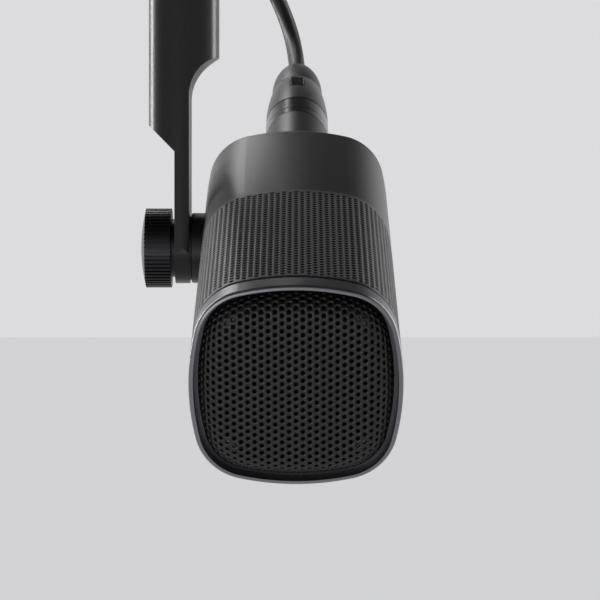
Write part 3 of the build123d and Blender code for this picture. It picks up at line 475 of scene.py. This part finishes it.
class FlatSheet:
    """Points and faces of a sheet that is still flat. Grid points are counted in half cells."""

    def __init__(self, step_across, step_along, wrap=None):
        self.steps = (step_across, step_along)
        self.wrap = wrap
        self.points = []
        self.faces = []
        self.known = {}

    def grid_point(self, across, along):
        key = (across % self.wrap if self.wrap else across, along)
        if key not in self.known:
            self.known[key] = len(self.points)
            self.points.append((key[0] * self.steps[0], key[1] * self.steps[1]))
        return self.known[key]

    def hole(self, across, along, radius):
        center = ((across + 1) * self.steps[0], (along + 1) * self.steps[1])
        rim = len(self.points)
        for corner in range(8):
            angle = math.radians(45 * corner - 135)
            self.points.append((center[0] + radius * math.cos(angle), center[1] + radius * math.sin(angle)))
        cell = [self.grid_point(across + a, along + b) for a, b in AROUND_CELL]
        for corner in range(8):
            after = (corner + 1) % 8
            self.faces.append((cell[corner], cell[after], rim + after, rim + corner))

    def plain(self, across, along):
        corners = ((0, 0), (1, 0), (1, 1), (0, 1))
        self.faces.append([self.grid_point(across + a, along + b) for a, b in corners])


def sheet_mesh(name, sheet, place):
    """The sheet's mesh after every flat point has gone to its place in space."""
    mesh = bpy.data.meshes.new(name)
    mesh.from_pydata([place(*point) for point in sheet.points], [], sheet.faces)
    return mesh


def thicken(piece, thickness):
    """Gives a sheet its thickness, inwards from the face that shows."""
    wall = piece.modifiers.new("thickness", "SOLIDIFY")
    wall.thickness = thickness
    wall.offset = -1


# %% [markdown]
# The sleeve's sheet runs right round the section. Its columns run along the case, every second one set back
# by half a step, and a plain strip closes each end.

# %% Perforated sleeve
SLEEVE_COLUMNS = 112
SLEEVE_ROWS = 36
SLEEVE_HOLE = 0.62 * MM
SLEEVE_WALL = 1.2 * MM
SLEEVE_EDGE = 1.4 * MM
SLEEVE_BACK = 29.5 * MM
SLEEVE_FRONT = 102 * MM
row_step = (SLEEVE_FRONT - SLEEVE_BACK - 2 * SLEEVE_EDGE) / SLEEVE_ROWS / 2
column_step = 4 * quarter_run / SLEEVE_COLUMNS / 2
sheet = FlatSheet(column_step, row_step, wrap=2 * SLEEVE_COLUMNS)
last = 2 * SLEEVE_ROWS
for column in range(SLEEVE_COLUMNS):
    set_back = column % 2
    for row in range(SLEEVE_ROWS - set_back):
        sheet.hole(2 * column, 2 * row + set_back, SLEEVE_HOLE)
    for half in (2 * column, 2 * column + 1):
        sheet.plain(half, -1)
        sheet.plain(half, last)
        if set_back:
            sheet.plain(half, 0)
            sheet.plain(half, last - 1)


def wrap_sleeve(across, along):
    """A flat point of the sheet, bent round the case. A column of holes lies on the middle of the top."""
    point, _ = around((column_step - across) % (4 * quarter_run))
    depth = SLEEVE_BACK + SLEEVE_EDGE + along
    if along < 0:
        depth = SLEEVE_BACK
    elif along > last * row_step + row_step / 2:
        depth = SLEEVE_FRONT
    return MIC @ Vector((point.x, point.y, depth))


sleeve = add_piece("sleeve_sheet", sheet_mesh("sleeve_sheet", sheet, wrap_sleeve), sleeve_coat, 30)
thicken(sleeve, SLEEVE_WALL)
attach(sleeve, "microphone")
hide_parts("perforated_sleeve")
print("sleeve faces", len(sleeve.data.polygons), "normal", sleeve.data.polygons[0].normal)

# %% [markdown]
# The grille is punched flat as well, and then pressed into a shallow dome with a rounded edge, so the rows
# of holes carry on over the edge. A flat point keeps its direction from the edge of the section, and the
# distance that it lies inside the blank becomes a distance along the pressed profile.

# %% Pressed grille
GRILLE_INSET = 2.35 * MM
GRILLE_BACK = 104.9 * MM
GRILLE_TOP = 112.2 * MM
GRILLE_ROUND = 6.5 * MM
GRILLE_SHEET = 1.0 * MM
GRILLE_PITCH = 2.07 * MM
GRILLE_HOLE = 0.66 * MM
DOME_RADIUS = 245 * MM
GRILLE_BORDER = 0.9 * MM
dome_reach = HALF_WIDTH - GRILLE_INSET - GRILLE_ROUND
dome_fall = dome_reach**2 / (2 * DOME_RADIUS)
wall_height = GRILLE_TOP - dome_fall - GRILLE_ROUND - GRILLE_BACK
round_run = GRILLE_ROUND * math.pi / 2
blank_inset = GRILLE_INSET - (wall_height + round_run - GRILLE_ROUND)


def press(across, along):
    """A flat point of the grille's blank after pressing."""
    flat = Vector((across, along))
    depth, out = inside(flat)
    run = max(depth - blank_inset, 0.0)
    if run < wall_height:
        inset, height = 0.0, run
    elif run < wall_height + round_run:
        angle = (run - wall_height) / GRILLE_ROUND
        inset = GRILLE_ROUND * (1 - math.cos(angle))
        height = wall_height + GRILLE_ROUND * math.sin(angle)
    else:
        inset, height = depth - GRILLE_INSET, wall_height + GRILLE_ROUND
    point = flat + out * (depth - GRILLE_INSET - inset)
    share = min(inset / GRILLE_ROUND, 1.0)
    rise = dome_fall - min(point.length_squared / (2 * DOME_RADIUS), dome_fall) if share >= 1 else 0.0
    return MIC @ Vector((point.x, point.y, GRILLE_BACK + height + rise))


grille_step = GRILLE_PITCH * math.sqrt(3) / 4
sheet = FlatSheet(grille_step, GRILLE_PITCH / 2)
reach = int((HALF_WIDTH - blank_inset) / grille_step / 2) + 1
kept = set()
for column in range(-reach, reach + 1):
    for row in range(-reach, reach + 1):
        first = (2 * column - 1, 2 * row - 1 + column % 2)
        corners = [
            Vector(((first[0] + a) * grille_step, (first[1] + b) * GRILLE_PITCH / 2)) for a, b in AROUND_CELL
        ]
        if min(inside(corner)[0] for corner in corners) > blank_inset + GRILLE_BORDER:
            kept.add(first)
            sheet.hole(*first, GRILLE_HOLE)
print("grille holes", len(kept))

# %% [markdown]
# The field of cells has a stepped outline. A ring of triangles fills the space between it and the blank's
# smooth edge.

# %% Grille border
EDGE_POINTS = 288
uses = {}
for first in kept:
    cell = [sheet.grid_point(first[0] + a, first[1] + b) for a, b in AROUND_CELL]
    for corner in range(8):
        pair = (cell[corner], cell[(corner + 1) % 8])
        uses[tuple(sorted(pair))] = uses.get(tuple(sorted(pair)), 0) + 1
steps = [pair for pair, count in uses.items() if count == 1]
edge_points = []
for step in range(EDGE_POINTS):
    point, out = around(step * 4 * quarter_run / EDGE_POINTS)
    edge_points.append(point - out * blank_inset)
rim_index = sorted({index for pair in steps for index in pair})
border_points = [Vector(sheet.points[index]) for index in rim_index] + edge_points
place_in_border = {index: number for number, index in enumerate(rim_index)}
border_edges = [(place_in_border[a], place_in_border[b]) for a, b in steps]
start = len(rim_index)
border_edges += [(start + step, start + (step + 1) % EDGE_POINTS) for step in range(EDGE_POINTS)]
_, _, triangles, _, _, _ = delaunay_2d_cdt(border_points, border_edges, [], 0, 1e-9)
in_sheet = rim_index + list(range(len(sheet.points), len(sheet.points) + EDGE_POINTS))
sheet.points += [tuple(point) for point in edge_points]


def in_a_cell(point):
    """True if that flat point belongs to a cell that has a hole."""
    column = math.floor(point.x / (2 * grille_step) + 0.5)
    row = math.floor((point.y / (GRILLE_PITCH / 2) + 1 - column % 2) / 2)
    return (2 * column - 1, 2 * row - 1 + column % 2) in kept


for triangle in triangles:
    middle = sum((border_points[corner] for corner in triangle), Vector((0, 0))) / 3
    if not in_a_cell(middle) and inside(middle)[0] > blank_inset:
        sheet.faces.append([in_sheet[corner] for corner in triangle])
grille = add_piece("grille_sheet", sheet_mesh("grille_sheet", sheet, press), grille_coat, 40)
thicken(grille, GRILLE_SHEET)
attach(grille, "microphone")
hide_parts("grille_cap")
print("grille faces", len(grille.data.polygons), "normal", grille.data.polygons[0].normal)

# %% [markdown]
# ## Floor and light
# The microphone hangs over a plain pale floor. The room is pale all round at eye level and fades to a dark
# ceiling, so the top of the black case stays dark and its edges read. Tall soft boxes stand a little behind
# the microphone, one each side, and draw the long bright lines down the edges of the arm and the case.
# A box above picks out the knob's ribs and the rings of the plug.
# Where the eye or a reflection looks at the floor, it sees it nearly as pale as the room.

# %% Floor
FLOOR_DROP = 0.25               # below the lowest point of the CAD
GLOW_SHARE = 0.88
ROOM_COLOUR = "#dcdcde"
floor_mesh = bpy.data.meshes.new("floor")
floor_form = bmesh.new()
bmesh.ops.create_grid(floor_form, x_segments=1, y_segments=1, size=20)
floor_form.to_mesh(floor_mesh)
floor_form.free()
floor_paint, shader = start_material("pale_floor", "#ececed", 0.0, 0.8)
floor = add_piece("floor", floor_mesh, floor_paint)
floor.location = (0, 0, cad_box[0][2] - FLOOR_DROP)
rays = add_node(floor_paint, "ShaderNodeLightPath")
looked_at = rays.outputs["Is Camera Ray"]
for kind in ("Is Glossy Ray", "Is Transmission Ray"):
    either = add_node(floor_paint, "ShaderNodeMath", {"operation": "MAXIMUM"})
    floor_paint.node_tree.links.new(looked_at, either.inputs[0])
    floor_paint.node_tree.links.new(rays.outputs[kind], either.inputs[1])
    looked_at = either.outputs["Value"]
share = add_node(floor_paint, "ShaderNodeMapRange", {"To Max": GLOW_SHARE}, Value=looked_at)
glow = add_node(floor_paint, "ShaderNodeEmission", {"Color": linear(ROOM_COLOUR), "Strength": 1.0})
mix = add_node(floor_paint, "ShaderNodeMixShader", None, Fac=share.outputs["Result"])
floor_paint.node_tree.links.new(shader.outputs["BSDF"], mix.inputs[1])
floor_paint.node_tree.links.new(glow.outputs["Emission"], mix.inputs[2])
surface = floor_paint.node_tree.nodes["Material Output"].inputs["Surface"]
floor_paint.node_tree.links.new(mix.outputs["Shader"], surface)
print("floor at", round(floor.location.z, 3))

# %% Room
PALE_UP_TO = 0.24               # height of the look's direction where the pale room ends
DARK_FROM = 0.55
CEILING_COLOUR = "#3c3c3e"
world = bpy.data.worlds.new("studio")
bpy.context.scene.world = world
world.use_nodes = True
direction = add_node(world, "ShaderNodeTexCoord")
parts = add_node(world, "ShaderNodeSeparateXYZ", None, Vector=direction.outputs["Generated"])
fade = add_node(world, "ShaderNodeValToRGB", None, Fac=parts.outputs["Z"])
fade.color_ramp.elements[0].position = PALE_UP_TO
fade.color_ramp.elements[0].color = linear(ROOM_COLOUR)
fade.color_ramp.elements[1].position = DARK_FROM
fade.color_ramp.elements[1].color = linear(CEILING_COLOUR)
world.node_tree.links.new(fade.outputs["Color"], world.node_tree.nodes["Background"].inputs["Color"])


# %% Soft boxes
def soft_box(name, place, size, power):
    """An area lamp of that width and height, pointed at the microphone."""
    data = bpy.data.lights.new(name, "AREA")
    data.shape = "RECTANGLE"
    data.size, data.size_y = size
    data.energy = power
    lamp = bpy.data.objects.new(name, data)
    lamp.location = mic_origin + Vector(place)
    lamp.rotation_euler = (mic_origin - lamp.location).to_track_quat("-Z", "Y").to_euler()
    lamp.visible_camera = False
    bpy.context.scene.collection.objects.link(lamp)


soft_box("left_box", (-0.64, 0.42, 0.28), (0.14, 0.8), 6)
soft_box("right_box", (0.66, 0.38, 0.28), (0.14, 0.8), 5)
soft_box("top_box", (-0.25, 0.5, 0.6), (0.4, 0.4), 2)
soft_box("front_box", (-0.3, -0.7, -0.35), (0.5, 0.5), 3)
bpy.context.scene.view_settings.view_transform = "Standard"
